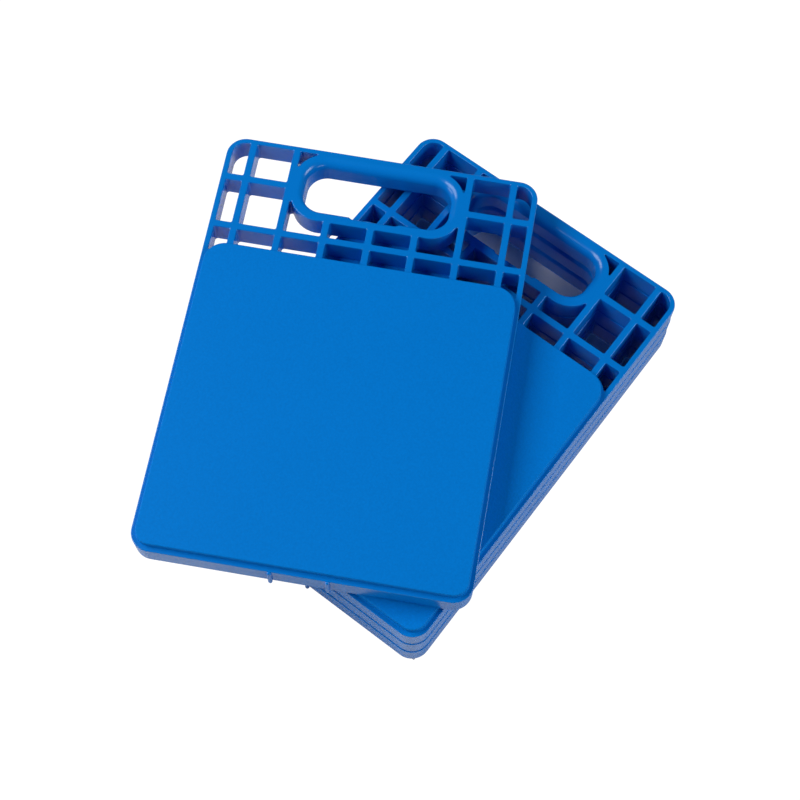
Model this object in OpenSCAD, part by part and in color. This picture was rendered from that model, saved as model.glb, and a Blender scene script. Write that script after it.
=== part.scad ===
// Set of four stacking jack pads: three nested in line, the fourth lying on top, turned.
// Each pad is one moulding: a raised load panel, a rim, a hollow ribbed underside, and at one
// end an open grid with a hand hole. Millimetres, +Z up, the ground is z = 0.

/* [Pad] */
// Width of one pad
pad_w = 165.1; // [160:0.1:200]
// Length of one pad, grid end included
pad_l = 228.6; // [225:0.1:260]
// Height of the rim above the pad's underside
rim_h = 15; // [12:0.1:24]
// Radius of the four outer corners, seen from above
corner_r = 10; // [6:0.5:14]
// Thickness of the side walls and the front wall
side_wall = 2.9; // [2.5:0.1:4]
// Thickness of the back wall, behind the hand hole
back_wall = 2.5; // [2:0.1:4]

/* [Load panel] */
// Height of the raised panel above the rim
panel_rise = 4; // [2.5:0.1:5]
// Width of the ledge that the rim leaves round the panel
ledge_w = 2.45; // [2.2:0.05:3]
// Distance of the panel's back edge from the middle of the pad
panel_back = 50.4; // [45:0.1:55]
// Radius of the panel's back corners
panel_back_r = 11; // [8:0.5:12]
// Thickness of the deck under the panel
deck_t = 3; // [2:0.1:4]
// Gap all round between a panel and the recess of the pad above it
nest_gap = 0.45; // [0.3:0.05:0.6]
// Width of the ledge between the panel's back edge and the open cells behind it
back_ledge = 1.5; // [1:0.1:2.5]

/* [Ribs] */
// Thickness of every rib
rib_t = 3.6; // [2.5:0.1:4.5]
// Distance between the ribs that run lengthways
rib_pitch_x = 23.1; // [22:0.1:26]
// Distance between the ribs that run crossways
rib_pitch_y = 28.1; // [26:0.1:32]
// Distance of the rearmost cross rib from the back edge
last_rib = 23.7; // [22:0.1:26]

/* [Hand hole] */
// Distance of the hole's sides from its middle
hole_half = 38.3; // [34:0.1:39]
// Distance of the hole's front lip from the pad's back edge
hole_front = 36.2; // [35:0.1:37]
// Thickness of the bar behind the hole, which the hand holds
grip_bar = 8; // [7:0.1:10]
// Radius of the hole's corners
hole_r = 10.5; // [8:0.1:13]
// Distance of the ring's sides from the middle of the hole
ring_half = 45; // [44.5:0.1:47]
// Thickness of the ring in front of the hole
ring_front = 5.3; // [4:0.1:6]
// How far the ring reaches behind the hole, into the back wall
ring_back = 6.1; // [5.6:0.1:7]
// Outer radius of the ring's corners
ring_r = 16.2; // [14:0.1:18]
// Radius of the rounding round the hole's upper edge
grip_r = 2.5; // [1:0.5:4]
// Length of the shallow notch in the hole's front lip
notch_l = 26; // [15:1:30]
// Depth of that notch
notch_d = 1; // [0.5:0.1:2]

/* [Front marks] */
// Distance of each upright bead on the front wall from the middle
bead_x = 14; // [10:1:30]
// Radius of the beads
bead_r = 1.1; // [0.5:0.1:1.5]
// Distance of the middle of each bead in front of the wall
bead_out = 0.3; // [0:0.1:0.8]

/* [Arrangement] */
// How far the top pad is turned on the stack, degrees
top_turn = 27.4; // [10:0.1:45]
// Place of the top pad's middle, across the stack
top_x = -31.6; // [-40:0.1:0]
// Place of the top pad's middle, along the stack
top_y = -24.5; // [-40:0.1:0]

/* [Hidden] */
$fn = 64;
pad_blue = [0.01, 0.45, 0.81];
past = 1;

half_w = pad_w / 2;
half_l = pad_l / 2;
pad_h = rim_h + panel_rise;
recess_h = panel_rise + 0.6;
hole_y0 = half_l - hole_front;
hole_y1 = half_l - grip_bar;
hole_corner_x = hole_half - hole_r;
hole_side = hole_y1 - hole_y0 - 2 * hole_r;

// Clear widths between the lengthways ribs, from the middle out: the last one ends at the wall.
column_edges = [for (i = [0 : 3]) [
    i * rib_pitch_x + rib_t / 2,
    i == 3 ? half_w - side_wall : (i + 1) * rib_pitch_x - rib_t / 2
]];

// Cross ribs run from the back edge forward; row_y gives the middle of each one.
rear_rib_y = half_l - last_rib;
row_count = floor((rear_rib_y + half_l) / rib_pitch_y);
function row_y(i) = rear_rib_y - i * rib_pitch_y;
panel_rib_y = panel_back - deck_t;

// Footprint of the whole set, which puts the origin under its middle.
turned_x = (half_w - corner_r) * cos(top_turn) + (half_l - corner_r) * sin(top_turn) + corner_r;
turned_y = (half_w - corner_r) * sin(top_turn) + (half_l - corner_r) * cos(top_turn) + corner_r;
set_x = (min(-half_w, top_x - turned_x) + max(half_w, top_x + turned_x)) / 2;
stack_front = -half_l - bead_out - bead_r;
set_y = (min(stack_front, top_y - turned_y) + max(half_l, top_y + turned_y)) / 2;

// Rectangle from [x0, y0] to [x1, y1] with its own radius at the front and at the back corners.
module round_box(x0, y0, x1, y1, front_r, back_r) {
    translate([x0 + front_r, y0]) square([x1 - x0 - 2 * front_r, y1 - y0 - back_r]);
    translate([x0 + back_r, y0 + front_r]) square([x1 - x0 - 2 * back_r, y1 - y0 - front_r]);
    translate([x0, y0 + front_r]) square([x1 - x0, y1 - y0 - front_r - back_r]);
    for (x = [x0 + front_r, x1 - front_r]) translate([x, y0 + front_r]) circle(front_r);
    for (x = [x0 + back_r, x1 - back_r]) translate([x, y1 - back_r]) circle(back_r);
}

module outline() {
    round_box(-half_w, -half_l, half_w, half_l, corner_r, corner_r);
}

// Inside of the outer walls.
module inner_outline() {
    round_box(
        -half_w + side_wall, -half_l + side_wall, half_w - side_wall, half_l - back_wall,
        corner_r - side_wall, corner_r - side_wall
    );
}

// Footprint of the raised panel, made larger or smaller all round by grow.
module panel_outline(grow = 0) {
    edge = half_w - ledge_w + grow;
    front = -half_l + ledge_w - grow;
    round_box(-edge, front, edge, panel_back + grow, corner_r - ledge_w + grow, panel_back_r + grow);
}

module ring_outline() {
    round_box(-ring_half, hole_y0 - ring_front, ring_half, hole_y1 + ring_back, ring_r, ring_r);
}

// Columns between the lengthways ribs, from y0 to y1, on both sides of the middle.
module columns(y0, y1) {
    for (c = column_edges, side = [0, 1]) {
        mirror([side, 0]) translate([c[0], y0]) square([c[1] - c[0], y1 - y0]);
    }
}

// Open cells of the grid end: two full rows, and a third that the panel's back edge closes.
module open_cells() {
    difference() {
        intersection() {
            inner_outline();
            union() {
                columns(row_y(0) + rib_t / 2, half_l);
                columns(row_y(1) + rib_t / 2, row_y(0) - rib_t / 2);
                columns(panel_back - panel_back_r, row_y(1) - rib_t / 2);
            }
        }
        ring_outline();
        panel_outline(back_ledge);
    }
}

// Blind pockets between the ribs under the panel.
module under_pockets() {
    columns(row_y(2) + rib_t / 2, panel_rib_y);
    for (i = [2 : row_count - 2]) columns(row_y(i + 1) + rib_t / 2, row_y(i) - rib_t / 2);
    columns(-half_l, row_y(row_count - 1) - rib_t / 2);
}

// Everything hollow below the deck. The walls keep one thickness round the step at the rim.
module underside() {
    translate([0, 0, -past]) {
        linear_extrude(recess_h + past) panel_outline(nest_gap);
        linear_extrude(rim_h - deck_t + past) intersection() {
            inner_outline();
            under_pockets();
        }
        linear_extrude(pad_h - deck_t + past) intersection() {
            panel_outline(-deck_t);
            under_pockets();
        }
    }
}

// Section of the grip's rounding: what is cut away beside a quarter circle.
module grip_section() {
    difference() {
        translate([hole_r - past, -grip_r]) square([grip_r + past, grip_r + past]);
        translate([hole_r + grip_r, -grip_r]) circle(grip_r);
    }
}

// At each corner of the hole: its middle, the way it starts, and the straight side after it.
module grip_rounding() {
    for (c = [
        [hole_corner_x, hole_y0 + hole_r, -90, hole_side],
        [hole_corner_x, hole_y1 - hole_r, 0, 2 * hole_corner_x],
        [-hole_corner_x, hole_y1 - hole_r, 90, hole_side],
        [-hole_corner_x, hole_y0 + hole_r, 180, 2 * hole_corner_x]
    ]) translate([c[0], c[1], rim_h]) rotate([0, 0, c[2]]) {
        rotate_extrude(angle = 90) grip_section();
        translate([-c[3], 0, 0]) rotate([90, 0, 90]) linear_extrude(c[3]) grip_section();
    }
}

module hand_hole() {
    translate([0, 0, -past]) {
        linear_extrude(pad_h + 2 * past)
            round_box(-hole_half, hole_y0, hole_half, hole_y1, hole_r, hole_r);
        translate([-notch_l / 2, hole_y0 - notch_d, 0]) cube([notch_l, hole_r, pad_h + 2 * past]);
    }
    grip_rounding();
}

// One pad, its underside at z = 0 and its middle over the origin, the grid end towards +Y.
module pad() {
    difference() {
        union() {
            linear_extrude(rim_h) outline();
            linear_extrude(pad_h) panel_outline();
            for (x = [-bead_x, bead_x]) {
                translate([x, -half_l - bead_out, 0]) cylinder(r = bead_r, h = rim_h);
            }
        }
        translate([0, 0, -past]) linear_extrude(pad_h + 2 * past) open_cells();
        underside();
        hand_hole();
    }
}

// Pad number i of the nested stack: each one stands on the rim of the one below.
module stacked_pad(i) {
    color(pad_blue) translate([-set_x, -set_y, i * rim_h]) pad();
}

module bottom_pad() {
    stacked_pad(0);
}

module second_pad() {
    stacked_pad(1);
}

module third_pad() {
    stacked_pad(2);
}

// The turned pad can't nest, so it lies on the third pad's panel.
module top_pad() {
    color(pad_blue)
        translate([top_x - set_x, top_y - set_y, 2 * rim_h + pad_h])
        rotate([0, 0, top_turn]) pad();
}

bottom_pad();
second_pad();
third_pad();
top_pad();
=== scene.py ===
"""Four stacking jack pads. Each CAD pad is replaced by one with rounded edges and drafted walls."""

import math

import bpy
from mathutils import Euler, Matrix, Vector, geometry


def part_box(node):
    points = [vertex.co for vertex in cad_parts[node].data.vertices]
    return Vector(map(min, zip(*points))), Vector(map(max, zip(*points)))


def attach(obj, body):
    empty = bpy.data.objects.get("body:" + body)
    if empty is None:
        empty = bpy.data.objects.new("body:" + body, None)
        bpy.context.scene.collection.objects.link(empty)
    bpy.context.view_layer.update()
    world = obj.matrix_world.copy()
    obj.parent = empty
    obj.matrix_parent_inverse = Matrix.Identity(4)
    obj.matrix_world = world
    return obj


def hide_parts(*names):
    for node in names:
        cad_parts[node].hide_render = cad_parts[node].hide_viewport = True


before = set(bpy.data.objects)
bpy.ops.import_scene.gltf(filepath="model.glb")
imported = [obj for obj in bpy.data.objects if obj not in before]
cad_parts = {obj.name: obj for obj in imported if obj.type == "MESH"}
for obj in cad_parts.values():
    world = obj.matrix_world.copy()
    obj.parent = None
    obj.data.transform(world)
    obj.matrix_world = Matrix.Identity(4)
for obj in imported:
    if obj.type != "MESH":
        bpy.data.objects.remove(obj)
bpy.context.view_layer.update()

MM = 0.001

# ------------------------------------------------------- one pad, in millimetres
# the pad's main sizes, as in the CAD
HALF_W, HALF_L = 82.55, 114.3
RIM_H, PANEL_RISE = 15.0, 4.0
PANEL_H = RIM_H + PANEL_RISE
CORNER_R = 10.0
SIDE_WALL, BACK_WALL = 2.9, 2.5
LEDGE, BACK_LEDGE = 2.45, 1.5
PANEL_BACK, PANEL_BACK_R = 50.4, 11.0
DECK, NEST_GAP, RECESS_ROOM = 3.0, 0.45, 0.6
RECESS_H = PANEL_RISE + RECESS_ROOM
RIB, PITCH_X, PITCH_Y, LAST_RIB = 3.6, 23.1, 28.1, 23.7
REAR_RIB_Y = HALF_L - LAST_RIB
HOLE_HALF, HOLE_R, HOLE_LIP, GRIP_BAR = 38.3, 10.5, 36.2, 8.0
HOLE_FRONT, HOLE_BACK = HALF_L - HOLE_LIP, HALF_L - GRIP_BAR
RING_HALF, RING_R, RING_BEFORE, RING_BEHIND = 45.0, 16.2, 5.3, 6.1
RING_FRONT, RING_BACK = HOLE_FRONT - RING_BEFORE, HOLE_BACK + RING_BEHIND
BEAD_X, BEAD_R, BEAD_OUT = 14.0, 1.1, 0.3
INNER_X, INNER_BACK, INNER_FRONT = HALF_W - SIDE_WALL, HALF_L - BACK_WALL, SIDE_WALL - HALF_L
PANEL_X, PANEL_FRONT = HALF_W - LEDGE, LEDGE - HALF_L

# columns of cells on each side of the middle, and the rows of pockets under the panel
COLUMNS, FIRST_POCKET_ROW, LAST_POCKET_ROW = 4, 2, 6

# unlike the CAD's, the notch has soft ends, and its middle is 0.75 further towards +X
NOTCH_FROM, NOTCH_TO, NOTCH_D, NOTCH_STEP, NOTCH_POINTS = -12.5, 14.0, 1.0, 2.4, 8

# roundings and moulding draft, which the CAD leaves out
RIM_EDGE, PANEL_EDGE, PANEL_FOOT, FOOT_EDGE = 0.5, 0.7, 0.45, 0.3
WALL_DRAFT, STEP_H, STEP_D = 0.35, 0.9, 1.1
CELL_EDGE, CELL_CORNER, CELL_DRAFT, CELL_FOOT = 0.45, 0.9, 0.4, 0.2
RECESS_EDGE, POCKET_EDGE, POCKET_SHELF, POCKET_ROOF = 0.2, 0.3, 0.3, 0.5
# corners of the open cells that meet the ring or the panel
BEHIND_RING, BEFORE_RING, BESIDE_PANEL = (0.6, 0.5, 0.5), 0.7, 0.6
# corner of the pocket under the panel's back corner, at its mouth and under the deck
PANEL_POCKET_MOUTH, PANEL_POCKET_ROOF = 7.6, 5.0
# the grip's rounding, where the CAD has one radius of 2.5 all round
GRIP_BACK, GRIP_SIDE, GRIP_FRONT, GRIP_STEPS = 5.2, 3.6, 1.1, 10
# degrees that a bead's ends turn through: at 90 they would shrink to a point
BEAD_TURN = 80

# arcs seen from above: degrees to a step, for wide radii and for tight ones
WIDE_R, WIDE_STEP, TIGHT_STEP, LEAST_STEPS = 4, 8, 15, 3

TOP_TURN = math.radians(27.4)


# ------------------------------------------------------- outlines, seen from above
class Flat:
    """A straight side: its outward direction in degrees and its distance from the origin."""

    def __init__(self, towards, distance):
        a = math.radians(towards)
        self.out, self.distance = Vector((math.cos(a), math.sin(a))), distance

    def outward(self, point):
        return self.out


class Post:
    """A side that goes round the outside of a round post."""

    def __init__(self, x, y, radius):
        self.centre, self.radius = Vector((x, y)), radius

    def outward(self, point):
        return (self.centre - point).normalized()


def corner_centre(a, b, r):
    """Centre of the rounding of radius r between side a and the next side b."""
    if isinstance(a, Flat) and isinstance(b, Flat):
        across = a.out.cross(b.out)
        da, db = a.distance - r, b.distance - r
        return Vector((da * b.out.y - db * a.out.y, a.out.x * db - b.out.x * da)) / across
    flat, post = (a, b) if isinstance(a, Flat) else (b, a)
    off = flat.distance - r - flat.out.dot(post.centre)
    half = math.sqrt((post.radius + r) ** 2 - off**2)
    along = Vector((-flat.out.y, flat.out.x)) * (-half if flat is a else half)
    return post.centre + flat.out * off + along


def arc_points(centre, radius, start, sweep):
    """(base, outward, radius) for the points of an arc; a hollow arc has a negative radius."""
    step = math.radians(WIDE_STEP if abs(radius) > WIDE_R else TIGHT_STEP)
    count = max(LEAST_STEPS, math.ceil(abs(sweep) / step))
    angles = [start + sweep * i / count for i in range(count + 1)]
    return [(centre, Vector((math.cos(a), math.sin(a))), radius) for a in angles]


def rounded(sides, radii):
    """Anticlockwise outline of (base, outward, radius) points: offset by e, a point is at
    base + (radius + e) * outward. radii[k] rounds the corner after sides[k]."""
    corners = []
    for k, r in enumerate(radii):
        a, b = sides[k], sides[(k + 1) % len(sides)]
        centre = corner_centre(a, b, r)
        first, last = a.outward(centre), b.outward(centre)
        start = math.atan2(first.y, first.x)
        sweep = (math.atan2(last.y, last.x) - start) % math.tau
        corners.append((centre, r, start, sweep))
    points = []
    for k, (centre, r, start, sweep) in enumerate(corners):
        points += arc_points(centre, r, start, sweep)
        side, after = sides[(k + 1) % len(sides)], corners[(k + 1) % len(corners)]
        if isinstance(side, Post):
            back = (after[2] - start - sweep + math.pi) % math.tau - math.pi
            points += arc_points(side.centre, -side.radius, start + sweep, back)[1:-1]
    return points


def box_outline(x0, y0, x1, y1, radii):
    """Rounded box; radii are for the back right, back left, front left and front right corner."""
    return rounded([Flat(0, x1), Flat(90, y1), Flat(180, -x0), Flat(270, -y0)], radii)


def mirrored(outline):
    return [(Vector((-b.x, b.y)), Vector((-n.x, n.y)), r) for b, n, r in reversed(outline)]


def circle(x, y, radius):
    return arc_points(Vector((x, y)), radius, 0.0, math.tau)[:-1]


def panel_outline(grow=0.0):
    back, front = PANEL_BACK_R + grow, CORNER_R - LEDGE + grow
    x, y0, y1 = PANEL_X + grow, PANEL_FRONT - grow, PANEL_BACK + grow
    return box_outline(-x, y0, x, y1, [back, back, front, front])


def column(i):
    """Clear width beside lengthways rib i, counted from the middle."""
    return i * PITCH_X + RIB / 2, INNER_X if i == COLUMNS - 1 else (i + 1) * PITCH_X - RIB / 2


def row(i):
    """Clear width in front of cross rib i, counted from the back."""
    return REAR_RIB_Y - (i + 1) * PITCH_Y + RIB / 2, REAR_RIB_Y - i * PITCH_Y - RIB / 2


def open_cells():
    """The through cells of the grid end."""
    ring_x = RING_HALF - RING_R
    ring_behind = Post(ring_x, RING_BACK - RING_R, RING_R)
    ring_before = Post(ring_x, RING_FRONT + RING_R, RING_R)
    corner_x, corner_y = PANEL_X - PANEL_BACK_R, PANEL_BACK - PANEL_BACK_R
    panel_corner = Post(corner_x, corner_y, PANEL_BACK_R + BACK_LEDGE)
    c, back_y = CELL_CORNER, REAR_RIB_Y + RIB / 2
    (mid_y0, mid_y1), short_y1 = row(0), row(1)[1]
    cells = []
    for i in range(COLUMNS):
        x0, x1 = column(i)
        right, left, outermost = Flat(0, x1), Flat(180, -x0), i == COLUMNS - 1
        if i == 0:
            cells.append(box_outline(x0, mid_y0, x1, RING_FRONT, [c] * 4))
        elif i == 1:
            cells.append(rounded([right, Flat(90, INNER_BACK), ring_behind], BEHIND_RING))
            around = [right, ring_before, left, Flat(270, -mid_y0)]
            cells.append(rounded(around, [BEFORE_RING, c, c, c]))
        else:
            outer = CORNER_R - SIDE_WALL if outermost else c
            cells.append(box_outline(x0, back_y, x1, INNER_BACK, [outer, c, c, c]))
            cells.append(box_outline(x0, mid_y0, x1, mid_y1, [c] * 4))
        if outermost:
            around = [right, Flat(90, short_y1), left, panel_corner]
            cells.append(rounded(around, [c, c, c, BESIDE_PANEL]))
        else:
            cells.append(box_outline(x0, PANEL_BACK + BACK_LEDGE, x1, short_y1, [c] * 4))
    return cells + [mirrored(cell) for cell in cells]


def under_pockets():
    """(outline at the recess, outline under the deck) of each blind pocket between the ribs."""
    back_row = (row(FIRST_POCKET_ROW)[1] + RIB, PANEL_BACK - DECK)
    front_row = (INNER_FRONT, row(LAST_POCKET_ROW)[1])
    rows = [back_row, *[row(i) for i in range(FIRST_POCKET_ROW, LAST_POCKET_ROW)], front_row]
    pockets = []
    for i in range(COLUMNS):
        x0, x1 = column(i)
        outermost = i == COLUMNS - 1
        for y0, y1 in rows:
            low_r, high_r = [CELL_CORNER] * 4, [CELL_CORNER] * 4
            high_x, high_y = min(x1, PANEL_X - DECK), max(y0, PANEL_FRONT + DECK)
            if outermost and (y0, y1) == back_row:
                low_r[0], high_r[0] = PANEL_POCKET_MOUTH, PANEL_POCKET_ROOF
            if outermost and (y0, y1) == front_row:
                low_r[3], high_r[3] = CORNER_R - SIDE_WALL, CORNER_R - LEDGE - DECK
            low = box_outline(x0, y0, x1, y1, low_r)
            pockets.append((low, box_outline(x0, high_y, high_x, y1, high_r)))
    return pockets + [(mirrored(low), mirrored(high)) for low, high in pockets]


def hole_outline():
    """The hand hole, with a shallow notch in its front lip that starts and ends in a soft step."""
    points = box_outline(-HOLE_HALF, HOLE_FRONT, HOLE_HALF, HOLE_BACK, [HOLE_R] * 4)
    # the outline starts at the back right corner; the notch comes after the front left one
    split = 3 * len(points) // 4
    points, last = points[:split], points[split:]
    for start, rise in ((NOTCH_FROM, 1), (NOTCH_TO - NOTCH_STEP, -1)):
        for k in range(NOTCH_POINTS + 1):
            s = k / NOTCH_POINTS
            blend = s * s * (3 - 2 * s)
            depth = NOTCH_D * (blend if rise > 0 else 1 - blend)
            slope = rise * NOTCH_D * 6 * s * (1 - s) / NOTCH_STEP
            place = Vector((start + NOTCH_STEP * s, HOLE_FRONT - depth))
            points.append((place, Vector((-slope, -1)).normalized(), 0.0))
    return points + last


# ------------------------------------------------------- sections
def turn(e, z, r, start, stop, steps=4):
    """Rounding about (e, z), where e is the outline's offset. The surface's direction goes from
    start to stop degrees: 0 is outward and 90 up. A hollow rounding has a negative r."""
    for k in range(steps + 1):
        a = math.radians(start + (stop - start) * k / steps)
        yield e + r * math.cos(a), z + r * math.sin(a), math.cos(a), math.sin(a)


def wall_section():
    """Down the outer wall, which leans in, and in under the shallow step along its foot."""
    wall = turn(-RIM_EDGE, RIM_H - RIM_EDGE, RIM_EDGE, 90, 0, steps=6)
    foot = turn(-WALL_DRAFT - FOOT_EDGE, STEP_H + FOOT_EDGE, FOOT_EDGE, 0, -90)
    step_roof = [(-STEP_D, STEP_H, 0, -1), (-STEP_D, STEP_H, 1, 0)]
    step_wall = [(-STEP_D, 0, 1, 0), (-STEP_D, 0, 0, -1)]
    return [*wall, *foot, *step_roof, *step_wall]


def panel_section():
    e, f = PANEL_EDGE, PANEL_FOOT
    return [*turn(-e, PANEL_H - e, e, 90, 0, steps=6), *turn(f, RIM_H + f, -f, 0, 90, steps=5)]


def hole_section(edge, draft, foot, steps=4):
    top = turn(edge, RIM_H - edge, edge, 90, 180, steps)
    return [*top, *turn(draft + foot, foot, foot, 180, 270, steps=3)]


def pocket_section(mouth_z, edge, roof_z, fillet):
    mouth = turn(edge, mouth_z + edge, edge, 270, 180, steps=3)
    return [*mouth, *turn(-fillet, roof_z - fillet, -fillet, 180, 270, steps=3)]


def bead_section():
    top = turn(-BEAD_R, RIM_H - BEAD_R, BEAD_R, BEAD_TURN, 0)
    return [*top, *turn(-BEAD_R, BEAD_R, BEAD_R, 0, -BEAD_TURN)]


class Skin:
    """Vertices that know which way their surface faces, and the faces between them."""

    NO_AREA = 1e-9

    def __init__(self):
        self.places, self.directions, self.faces, self.grained = [], [], [], []

    def point(self, base, n, r, e, z, out, up):
        at = base + (r + e) * n
        self.places.append(Vector((at.x, at.y, z)))
        self.directions.append(Vector((out * n.x, out * n.y, up)).normalized())
        return len(self.places) - 1

    def face(self, corners, grained):
        """One face, turned to face the way its corners do."""
        a, b, c = (self.places[k] for k in corners[:3])
        facing = (b - a).cross(c - a)
        if facing.length < self.NO_AREA:
            a, b, c = (self.places[k] for k in corners[-3:])
            facing = (b - a).cross(c - a)
        wanted = sum((self.directions[k] for k in corners), Vector())
        self.faces.append(corners if facing.dot(wanted) > 0 else corners[::-1])
        self.grained.append(grained)

    def sweep(self, outline, section, grained=False):
        """The skin along a section, or along a section of its own for each point of the
        outline. Returns the first and the last loop."""
        own = section if isinstance(section[0], list) else [section] * len(outline)
        loops = [
            [self.point(*p, *s[level]) for p, s in zip(outline, own)] for level in range(len(own[0]))
        ]
        for high, low in zip(loops, loops[1:]):
            for k in range(len(outline)):
                j = (k + 1) % len(outline)
                self.face([high[k], low[k], low[j], high[j]], grained)
        return loops[0], loops[-1]

    def fill(self, outer, holes=(), grained=False):
        """The flat face inside one loop and outside the others."""
        loops = [outer, *holes]
        numbers = [k for loop in loops for k in loop]
        flat = [[self.places[k].to_2d().to_3d() for k in loop] for loop in loops]
        for corners in geometry.tessellate_polygon(flat):
            self.face([numbers[k] for k in corners], grained)


def pad_skin():
    skin = Skin()
    outer = box_outline(-HALF_W, -HALF_L, HALF_W, HALF_L, [CORNER_R] * 4)
    rim, foot = skin.sweep(outer, wall_section())
    crown, panel_foot = skin.sweep(panel_outline(), panel_section(), grained=True)
    skin.fill(crown, grained=True)

    mouths, feet = [panel_foot], []
    for cell in open_cells():
        mouth, end = skin.sweep(cell, hole_section(CELL_EDGE, CELL_DRAFT, CELL_FOOT))
        mouths.append(mouth)
        feet.append(end)
    # the grip is rounded well along its back and ends, and only a little on the front lip
    lean, bulge = (GRIP_BACK - GRIP_FRONT) / 2, (GRIP_BACK + GRIP_FRONT) / 2 - GRIP_SIDE
    hole, sections = hole_outline(), []
    for _, n, _ in hole:
        edge = GRIP_SIDE + lean * n.y + bulge * n.y**2
        sections.append(hole_section(edge, 0.0, FOOT_EDGE, steps=GRIP_STEPS))
    mouth, end = skin.sweep(hole, sections)
    skin.fill(rim, [*mouths, mouth])

    recess = pocket_section(0.0, RECESS_EDGE, RECESS_H, RECESS_EDGE)
    lip, ceiling = skin.sweep(panel_outline(NEST_GAP), recess)
    skin.fill(foot, [lip, *feet, end])
    openings = []
    shelf_z, roof_z = RIM_H - DECK, PANEL_H - DECK
    for low, high in under_pockets():
        mouth, shelf = skin.sweep(low, pocket_section(RECESS_H, POCKET_EDGE, shelf_z, POCKET_SHELF))
        step = turn(-POCKET_ROOF, roof_z - POCKET_ROOF, -POCKET_ROOF, 180, 270)
        inner, roof = skin.sweep(high, [(0.0, shelf_z, -1.0, 0.0), *step])
        skin.fill(shelf, [inner])
        skin.fill(roof)
        openings.append(mouth)
    skin.fill(ceiling, openings)

    for x in (-BEAD_X, BEAD_X):
        top, bottom = skin.sweep(circle(x, -HALF_L - BEAD_OUT, BEAD_R), bead_section())
        skin.fill(top)
        skin.fill(bottom)
    return skin


def mesh_of(skin, name, materials):
    mesh = bpy.data.meshes.new(name)
    mesh.from_pydata([p * MM for p in skin.places], [], skin.faces)
    for material in materials:
        mesh.materials.append(material)
    mesh.polygons.foreach_set("material_index", [int(g) for g in skin.grained])
    mesh.polygons.foreach_set("use_smooth", [True] * len(mesh.polygons))
    mesh.normals_split_custom_set_from_vertices(skin.directions)
    return mesh


# ------------------------------------------------------- materials
BLUE = (0.0, 0.184, 0.632)
CLOUD_SCALE, PIGMENT_DRIFT, ROUGHNESS_DRIFT = 18.0, 0.015, 0.04


def nodes_of(material):
    material.use_nodes = True
    tree = material.node_tree
    return tree, tree.nodes["Principled BSDF"]


def add(tree, kind, **values):
    node = tree.nodes.new(kind)
    for key, value in values.items():
        if key in node.inputs:
            node.inputs[key].default_value = value
        else:
            setattr(node, key, value)
    return node


def plastic(name, colour, roughness, grain_mm, grain_depth_mm, pit_shade, specular):
    material = bpy.data.materials.new(name)
    tree, shader = nodes_of(material)
    link = tree.links.new
    shader.inputs["Specular IOR Level"].default_value = specular
    place = add(tree, "ShaderNodeTexCoord").outputs["Object"]

    # pigment drifts a little through the moulding
    clouds = add(tree, "ShaderNodeTexNoise", Scale=CLOUD_SCALE, Detail=3.0)
    link(place, clouds.inputs["Vector"])
    tint = add(tree, "ShaderNodeMix", data_type="RGBA")
    tint.inputs["A"].default_value = (*[c * (1 - PIGMENT_DRIFT) for c in colour], 1.0)
    tint.inputs["B"].default_value = (*[c * (1 + PIGMENT_DRIFT) for c in colour], 1.0)
    link(clouds.outputs["Fac"], tint.inputs["Factor"])

    scale = 1.0 / (grain_mm * MM)
    grain = add(tree, "ShaderNodeTexNoise", Scale=scale, Detail=4.0, Roughness=0.55)
    link(place, grain.inputs["Vector"])
    bump = add(tree, "ShaderNodeBump", Strength=1.0, Distance=grain_depth_mm * MM)
    link(grain.outputs["Fac"], bump.inputs["Height"])
    link(bump.outputs["Normal"], shader.inputs["Normal"])

    # painted shade: the grain's pits are coloured a little darker than its tops, standing in for the
    # shade that falls in them
    shade = add(tree, "ShaderNodeMapRange")
    shade.inputs["To Min"].default_value = 1 - pit_shade
    shade.inputs["To Max"].default_value = 1 + pit_shade
    link(grain.outputs["Fac"], shade.inputs["Value"])
    pit_shaded = add(tree, "ShaderNodeVectorMath", operation="SCALE")
    link(tint.outputs["Result"], pit_shaded.inputs[0])
    link(shade.outputs["Result"], pit_shaded.inputs["Scale"])
    link(pit_shaded.outputs["Vector"], shader.inputs["Base Color"])

    rough = add(tree, "ShaderNodeMapRange")
    rough.inputs["To Min"].default_value = roughness - ROUGHNESS_DRIFT
    rough.inputs["To Max"].default_value = roughness + ROUGHNESS_DRIFT
    link(clouds.outputs["Fac"], rough.inputs["Value"])
    link(rough.outputs["Result"], shader.inputs["Roughness"])
    return material


# both plastics paint a little shade into the pits of their grain, through the base colour
body = plastic(
    "pad_body", BLUE, roughness=0.2, grain_mm=0.9, grain_depth_mm=0.01, pit_shade=0.05, specular=0.4
)
panel = plastic(
    "pad_panel", BLUE, roughness=0.5, grain_mm=1.1, grain_depth_mm=0.09, pit_shade=0.14, specular=0.04
)

# ------------------------------------------------------- the four pads
pad_mesh = mesh_of(pad_skin(), "pad", [body, panel])
for node in ("bottom_pad", "second_pad", "third_pad", "top_pad"):
    low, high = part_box(node)
    centre = (Vector(low) + Vector(high)) / 2
    if node == "top_pad":
        place = Matrix.Translation((centre.x, centre.y, low[2])) @ Matrix.Rotation(TOP_TURN, 4, "Z")
    else:
        # the front beads make the box longer, so the back edge gives the place
        place = Matrix.Translation((centre.x, high[1] - HALF_L * MM, low[2]))
    pad = bpy.data.objects.new(node + "_moulding", pad_mesh)
    bpy.context.scene.collection.objects.link(pad)
    pad.matrix_world = place
    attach(pad, node)
    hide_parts(node)


# ------------------------------------------------------- floor, light and camera, in metres
WIDE = ((-40, -40), (40, 40))
FLOOR_Z, SWEEP_Z = -0.0002, -0.0001
# how far the sweep's opening stays inside the stack's outline, and at the front
OPENING_IN, OPENING_IN_FRONT = 0.003, 0.004
LAMP_DISTANCE = 1.2


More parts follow.
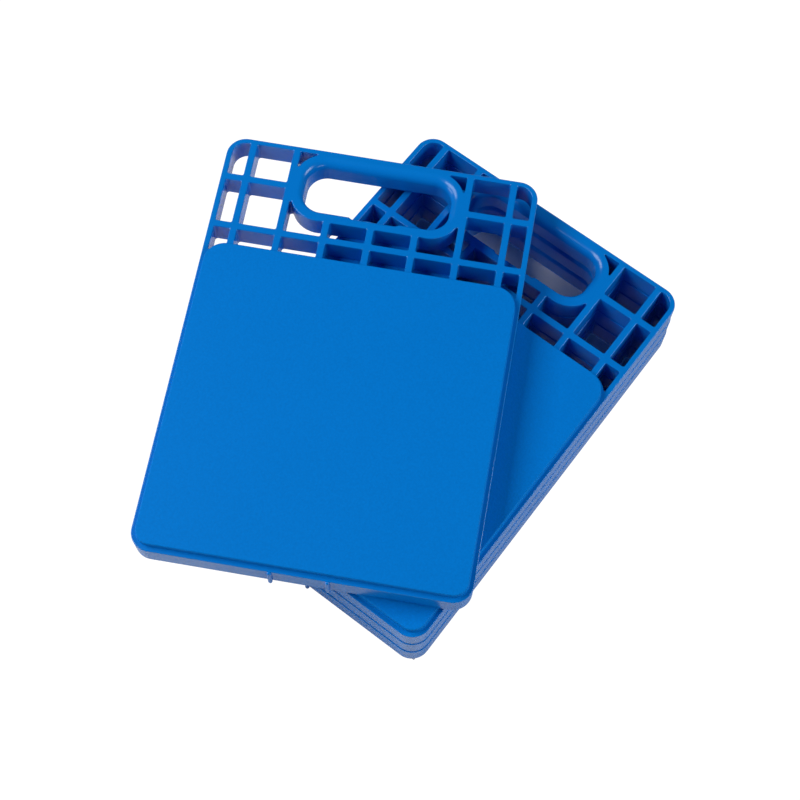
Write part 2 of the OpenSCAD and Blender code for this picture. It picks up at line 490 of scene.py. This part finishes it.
def stage_plane(name, outer, hole, z, shader_of):
    """A level plane over the box outer, with an opening over the box hole, seen from above only."""
    (ax, ay), (bx, by) = outer
    places, faces = [(ax, ay), (bx, ay), (bx, by), (ax, by)], [(0, 1, 2, 3)]
    if hole:
        (cx, cy), (dx, dy) = hole
        places += [(cx, cy), (dx, cy), (dx, dy), (cx, dy)]
        faces = [(k, (k + 1) % 4, 4 + (k + 1) % 4, 4 + k) for k in range(4)]
    mesh = bpy.data.meshes.new(name)
    mesh.from_pydata([(x, y, z) for x, y in places], [], faces)
    material = bpy.data.materials.new(name)
    tree, shader = nodes_of(material)
    shader_of(shader)
    clear = add(tree, "ShaderNodeBsdfTransparent")
    side = add(tree, "ShaderNodeNewGeometry")
    mix = add(tree, "ShaderNodeMixShader")
    tree.links.new(side.outputs["Backfacing"], mix.inputs["Fac"])
    tree.links.new(shader.outputs["BSDF"], mix.inputs[1])
    tree.links.new(clear.outputs["BSDF"], mix.inputs[2])
    tree.links.new(mix.outputs["Shader"], tree.nodes["Material Output"].inputs["Surface"])
    mesh.materials.append(material)
    obj = bpy.data.objects.new(name, mesh)
    bpy.context.scene.collection.objects.link(obj)
    return obj


def pale(shader):
    shader.inputs["Base Color"].default_value = (0.8, 0.79, 0.77, 1)
    shader.inputs["Roughness"].default_value = 0.9


def white(shader):
    shader.inputs["Base Color"].default_value = (0, 0, 0, 1)
    shader.inputs["Emission Color"].default_value = (1, 1, 1, 1)
    shader.inputs["Emission Strength"].default_value = 1.05


stack_low, stack_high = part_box("bottom_pad")
under_stack = [
    (stack_low[0] + OPENING_IN, stack_low[1] + OPENING_IN_FRONT),
    (stack_high[0] - OPENING_IN, stack_high[1] - OPENING_IN),
]
floor = stage_plane("floor", WIDE, None, FLOOR_Z, pale)
# the floor lets the lamp below it reach the pads' undersides
floor.visible_shadow = False
# the sweep is burnt out to white for the camera, and gives the pads no light; the floor shows
# through its opening, which is what the stack's hand hole looks down on
sweep = stage_plane("white_sweep", WIDE, under_stack, SWEEP_Z, white)
for ray in ("diffuse", "glossy", "transmission", "volume_scatter", "shadow"):
    setattr(sweep, "visible_" + ray, False)


def softbox(name, clockwise, height, size, power):
    """A soft light, placed by its angle clockwise from the front of the set and its height angle."""
    light = bpy.data.lights.new(name, "AREA")
    light.shape, light.size, light.size_y = "RECTANGLE", size[0], size[1]
    light.energy = power
    obj = bpy.data.objects.new(name, light)
    bpy.context.scene.collection.objects.link(obj)
    a, h = math.radians(clockwise), math.radians(height)
    towards = Vector((-math.sin(a) * math.cos(h), -math.cos(a) * math.cos(h), math.sin(h)))
    obj.location = towards * LAMP_DISTANCE
    obj.rotation_euler = towards.to_track_quat("Z", "Y").to_euler()


softbox("key_left", 62, 51, (1.0, 0.6), 11.5)
softbox("back_right", 242, 35, (0.7, 0.5), 7.2)
softbox("low_left", 50, 15, (0.6, 0.3), 3.2)
softbox("low_right", 300, 15, (0.6, 0.3), 1.6)
softbox("underside", 150, -75, (0.8, 0.8), 5.0)

world = bpy.data.worlds.new("studio")
bpy.context.scene.world = world
world.use_nodes = True
world.node_tree.nodes["Background"].inputs["Color"].default_value = (0.02, 0.02, 0.02, 1)

camera = bpy.data.cameras.new("camera")
camera.lens, camera.sensor_width = 78.75, 36.0
camera.shift_x, camera.shift_y = -0.0647, -0.1209
camera.clip_start, camera.clip_end = 0.05, 100.0
view = bpy.data.objects.new("camera", camera)
view.location = (0.23059, -0.26014, 0.86553)
view.rotation_euler = Euler([math.radians(a) for a in (25.1, -1.715, 36.781)])
bpy.context.scene.collection.objects.link(view)
bpy.context.scene.camera = view
bpy.context.scene.view_settings.view_transform = "Standard"
